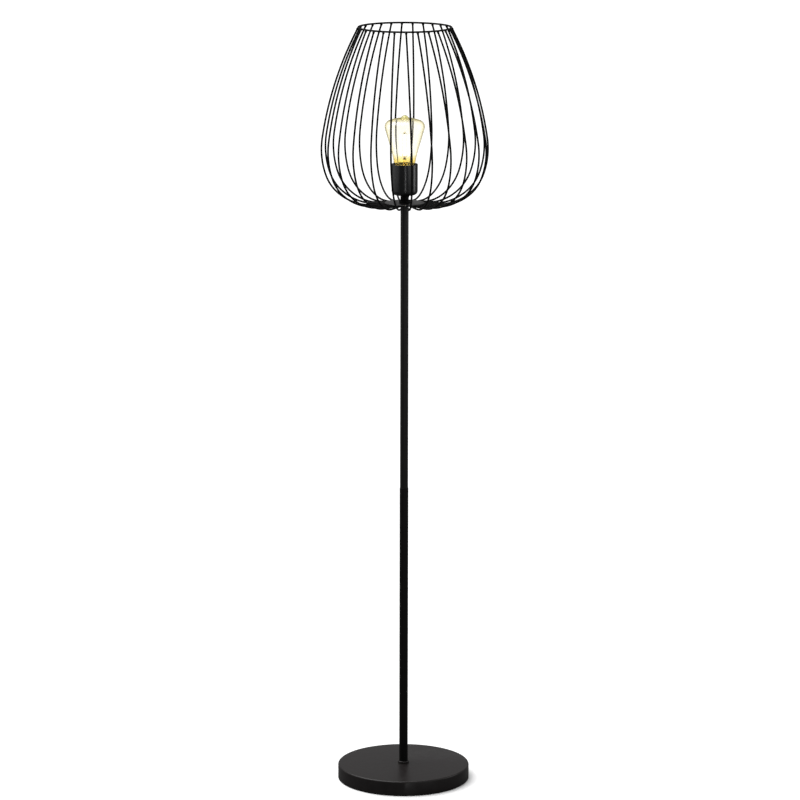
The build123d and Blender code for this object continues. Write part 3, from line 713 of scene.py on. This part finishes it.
# ======== lampholder ========
def build_holder():
    """The drawn cup with its rounded foot and rolled rim, and the insulating sleeve inside it."""
    low, high = node_heights("holder_cup")
    outer, wall, bore = node_radius("holder_cup"), CUP_WALL, CLEARANCE_BORE_R
    cup = rounded(
        [
            (bore, low, BROKEN_EDGE),
            (outer, low, CUP_EDGE_R),
            (outer, high, CUP_RIM_EDGE),
            (outer - wall, high, CUP_RIM_EDGE),
            (outer - wall, low + wall, CUP_EDGE_R - wall),
            (bore, low + wall, BROKEN_EDGE),
        ],
        steps=10,
    )
    stands_for(lathe("cup_shell", cup), "holder_cup")
    smooth_copy("insulating_sleeve", "holder_sleeve")


# ======== bulb ========
cap_foot_z, cap_top_z = node_heights("bulb_cap")
glass_low_z, glass_tip_z = node_heights("bulb_glass")
BULB_R = node_radius("bulb_glass")
CAP_THREAD_R = node_radius("bulb_cap")


def glass_outline(inset):
    """The bulb's outline from the neck's lower end to the crown, moved inwards by inset.

    The neck is straight, flares out and back in two arcs, widens through the long waist arc to the
    straight side, and turns over the shoulder into the shallow dome. The side is as long as the widening
    that the arcs leave to it, over the sine of its slope.
    """
    reach = BULB_R - SHOULDER_R * (1 - cos(radians(SIDE_SLOPE))) - BULB_NECK_R
    reach -= FLARE_IN_R * (1 - cos(radians(FLARE_SLOPE)))
    reach -= FLARE_OUT_R * (cos(radians(WAIST_SLOPE)) - cos(radians(FLARE_SLOPE)))
    reach -= WAIST_R * (cos(radians(WAIST_SLOPE)) - cos(radians(SIDE_SLOPE)))
    dome_r = (BULB_R - SHOULDER_R * (1 - sin(radians(DOME_SLOPE)))) / sin(radians(DOME_SLOPE))
    legs = [
        (cap_top_z + CAP_BELOW_NECK - glass_low_z, 0),
        (FLARE_IN_R + inset, -FLARE_SLOPE),
        (FLARE_OUT_R - inset, FLARE_SLOPE - WAIST_SLOPE),
        (WAIST_R + inset, WAIST_SLOPE - SIDE_SLOPE),
        (reach / sin(radians(SIDE_SLOPE)), 0),
        (SHOULDER_R - inset, SIDE_SLOPE + 90 - DOME_SLOPE),
        (dome_r - inset, DOME_SLOPE),
    ]
    return trail((BULB_NECK_R - inset, glass_low_z), 90, legs, GLASS_STEP)


def sealed_tip(outline):
    """The outline with the small nub left by sealing the glass: a ball that blends into the dome.

    The height is the smooth maximum of both, blend log(exp(dome / blend) + exp(ball / blend)); the ball's
    height is its centre's plus the root of TIP_R squared less r squared.
    """
    crown = outline.real < CROWN_R
    r = np.linspace(outline.real[crown][0], 0, TIP_RINGS)
    dome = np.interp(r, outline.real[crown][::-1], outline.imag[crown][::-1])
    ball = glass_tip_z - TIP_R + np.sqrt(TIP_R**2 - r**2)
    height = TIP_BLEND * np.logaddexp(dome / TIP_BLEND, ball / TIP_BLEND)
    return np.concatenate([outline[~crown], r + 1j * height])


def threaded(outline):
    """A turned outline whose threaded stretch waves in and out.

    The radius grows by depth (1 + cos) / 2 of z / pitch plus the azimuth's share of a turn, faded out over
    half a pitch at both ends of the stretch.
    """
    azimuth = np.arange(BULB_TURNS) * 2 * pi / BULB_TURNS
    r, z = outline.real[:, None], outline.imag[:, None]
    low, high = cap_foot_z + CAP_CONE_HEIGHT, cap_top_z - CAP_RUNOUT
    fade = np.clip((z - low) / CAP_PITCH * 2, 0, 1) * np.clip((high - z) / CAP_PITCH * 2, 0, 1)
    wave = (1 + np.cos(2 * pi * ((z - low) / CAP_PITCH) + azimuth)) / 2
    return about_axis(r + THREAD_DEPTH * fade * wave, z, azimuth)


def build_bulb():
    """The glass, the threaded brass cap with its insulator and contact, and what stands inside the glass."""
    outer = sealed_tip(glass_outline(0))
    inner = glass_outline(GLASS_WALL)
    envelope = np.concatenate([outer, inner[::-1]])
    stands_for(lathe("bulb_envelope", envelope, turns=BULB_TURNS), "bulb_glass")

    barrel = CAP_THREAD_R - THREAD_DEPTH
    foot = [CAP_FOOT_R + 1j * cap_foot_z]
    rows = np.arange(cap_foot_z + CAP_CONE_HEIGHT, cap_top_z, THREAD_STEP)
    outside = np.concatenate([foot, barrel + 1j * rows, [barrel + 1j * cap_top_z]])
    inside = np.concatenate([outside[:0:-1] - CAP_SHEET, [CAP_FOOT_R - CAP_SHEET + 1j * cap_foot_z]])
    stands_for(grid_piece("bulb_screw_cap", threaded(np.concatenate([outside, inside]))), "bulb_cap")
    smooth_copy("cap_insulator", "bulb_insulator", 50)
    smooth_copy("cap_contact", "bulb_contact", 60)
    build_mount()


def build_mount():
    """What stands inside the glass: the flared stem with its rod, four filament sticks and their wires.

    A lead runs from the rod to a stick's end. With t from 0 to 1 it lies rod radius + (circle radius - rod
    radius) t from the axis, and goes evenly from the one height to the other, plus bow sin(pi t).
    """
    stem_top = node_heights("bulb_stem")[1]
    smooth_copy("bulb_mount", "bulb_stem", 60)
    stick_low, stick_high = node_heights("bulb_filament")
    rows = np.linspace(stick_low, stick_high, STICK_RINGS)
    part_way = np.linspace(0, 1, LEAD_RINGS)[:, None]
    sticks, leads = [], []
    for index in range(FILAMENT_COUNT):
        outwards, _ = directions(radians(index * 360 / FILAMENT_COUNT))
        path = FILAMENT_CIRCLE_R * outwards + rows[:, None] * UP
        sticks.append(bent_wire("stick", path, FILAMENT_R, outwards, sides=14))
        for end, rod_z, bow in (
            (stick_high, stem_top - LEAD_TOP_DROP, LEAD_TOP_BOW),
            (stick_low, stick_low - LEAD_FOOT_DROP, LEAD_FOOT_BOW),
        ):
            path = outwards * (ROD_R + (FILAMENT_CIRCLE_R - ROD_R) * part_way)
            path = path + UP * (rod_z + (end - rod_z) * part_way + np.sin(part_way * pi) * bow)
            leads.append(bent_wire("lead", path, LEAD_R, np.cross(outwards, UP), sides=8))
    stands_for(joined("filament_sticks", sticks), "bulb_filament")
    belongs_with(joined("filament_leads", leads), "bulb_filament", coat=nickel)


# ======== studio, in metres and degrees ========
CAMERA_Y, CAMERA_Z, TILT, ROLL = -6.143, 1.904, 11.55, 0.12
# the focal length, the column that the camera looks along and the picture's width, all in pixels
FOCAL_PIXELS, AXIS_PIXEL, IMAGE = 3793, 404.2, 800
FLOOR_HALF = 60.0
LIT_PLACE = (0, 0, 1.0)  # what the softboxes face
# name, place, width, height, watts
SOFTBOXES = (
    ("front_strip", (0.4, -3.4, 0.55), 0.25, 0.9, 6),
    ("front_fill", (2.1, -2.1, 1.3), 1.6, 1.6, 8),
    ("right_softbox", (2.0, 0.2, 1.3), 0.7, 1.6, 9),
    ("left_softbox", (-2.2, -0.1, 1.3), 3.4, 1.6, 10),
)


def seen_directly(tree):
    """1 for what the camera sees straight or through glass, 0 for what lights or is mirrored."""
    path = add(tree, "ShaderNodeLightPath").outputs
    sides = {0: path["Is Camera Ray"], 1: path["Is Transmission Ray"]}
    return add(tree, "ShaderNodeMath", sides, operation="MAXIMUM").outputs[0]


def by_sight(tree, unseen, seen):
    """One shader for what lights or is mirrored, and another for what the camera sees."""
    links = {0: seen_directly(tree), 1: unseen.outputs[0], 2: seen.outputs[0]}
    return add(tree, "ShaderNodeMixShader", links)


def place_camera():
    """The camera: in front of the lamp, tilted down and rolled a little."""
    data = bpy.data.cameras.new("camera")
    data.sensor_width = 36.0
    data.lens = FOCAL_PIXELS / IMAGE * data.sensor_width
    data.shift_x = -(AXIS_PIXEL - IMAGE / 2) / IMAGE
    data.clip_end = 200
    camera = bpy.data.objects.new("camera", data)
    bpy.context.scene.collection.objects.link(camera)
    turn = Matrix.Rotation(radians(90 - TILT), 4, "X") @ Matrix.Rotation(radians(ROLL), 4, "Z")
    camera.matrix_world = Matrix.Translation((0, CAMERA_Y, CAMERA_Z)) @ turn
    bpy.context.scene.camera = camera


def lay_floor():
    """A painted floor, pale to the eye.

    Where it lights or is mirrored it is dull, which keeps its bounce off the lamp's dark sides.
    """
    mesh = bpy.data.meshes.new("floor")
    corners = [(x * FLOOR_HALF, y * FLOOR_HALF, 0) for x, y in ((-1, -1), (1, -1), (1, 1), (-1, 1))]
    mesh.from_pydata(corners, [], [(0, 1, 2, 3)])
    floor = bpy.data.objects.new("floor", mesh)
    bpy.context.scene.collection.objects.link(floor)
    made, tree, _ = material("pale_floor_paint")
    pale = add(tree, "ShaderNodeBsdfDiffuse", color=linear("#f6f6f6"))
    dull = add(tree, "ShaderNodeBsdfDiffuse", color=linear("#5a5a5a"))
    out(tree, by_sight(tree, dull, pale))
    mesh.materials.append(made)


def light_world():
    """An even white room: white where it is seen, and dim as a light."""
    world = bpy.data.worlds.new("studio")
    bpy.context.scene.world = world
    world.use_nodes = True
    tree = world.node_tree
    tree.nodes.clear()
    sky = add(tree, "ShaderNodeBackground", color=(1, 1, 1, 1), strength=0.27)
    backdrop = add(tree, "ShaderNodeBackground", color=(1, 1, 1, 1), strength=1.0)
    add(tree, "ShaderNodeOutputWorld", {"surface": by_sight(tree, sky, backdrop).outputs[0]})


def soft_sun(name, tilt, strength, spread_angle):
    """A broad even light from above: tilt is its lean to the side and to the front, in degrees."""
    data = bpy.data.lights.new(name, "SUN")
    data.energy = strength
    data.angle = radians(spread_angle)
    light = bpy.data.objects.new(name, data)
    light.rotation_euler = (radians(tilt[1]), radians(tilt[0]), 0)
    bpy.context.scene.collection.objects.link(light)


def softbox(name, place, width, height, watts):
    """A rectangular soft light at a place, facing the lamp."""
    data = bpy.data.lights.new(name, "AREA")
    data.shape = "RECTANGLE"
    data.size = width
    data.size_y = height
    data.energy = watts
    light = bpy.data.objects.new(name, data)
    light.location = place
    light.rotation_euler = (Vector(LIT_PLACE) - Vector(place)).to_track_quat("-Z", "Y").to_euler()
    bpy.context.scene.collection.objects.link(light)


def build_studio():
    """A pale floor, soft lights and the camera."""
    place_camera()
    lay_floor()
    light_world()
    soft_sun("overhead", (-20, -8), 3.45, 60)
    for box in SOFTBOXES:
        softbox(*box)
    bpy.context.scene.view_settings.view_transform = "Standard"


build_base()
build_pole()
build_cage()
build_holder()
build_bulb()
build_studio()
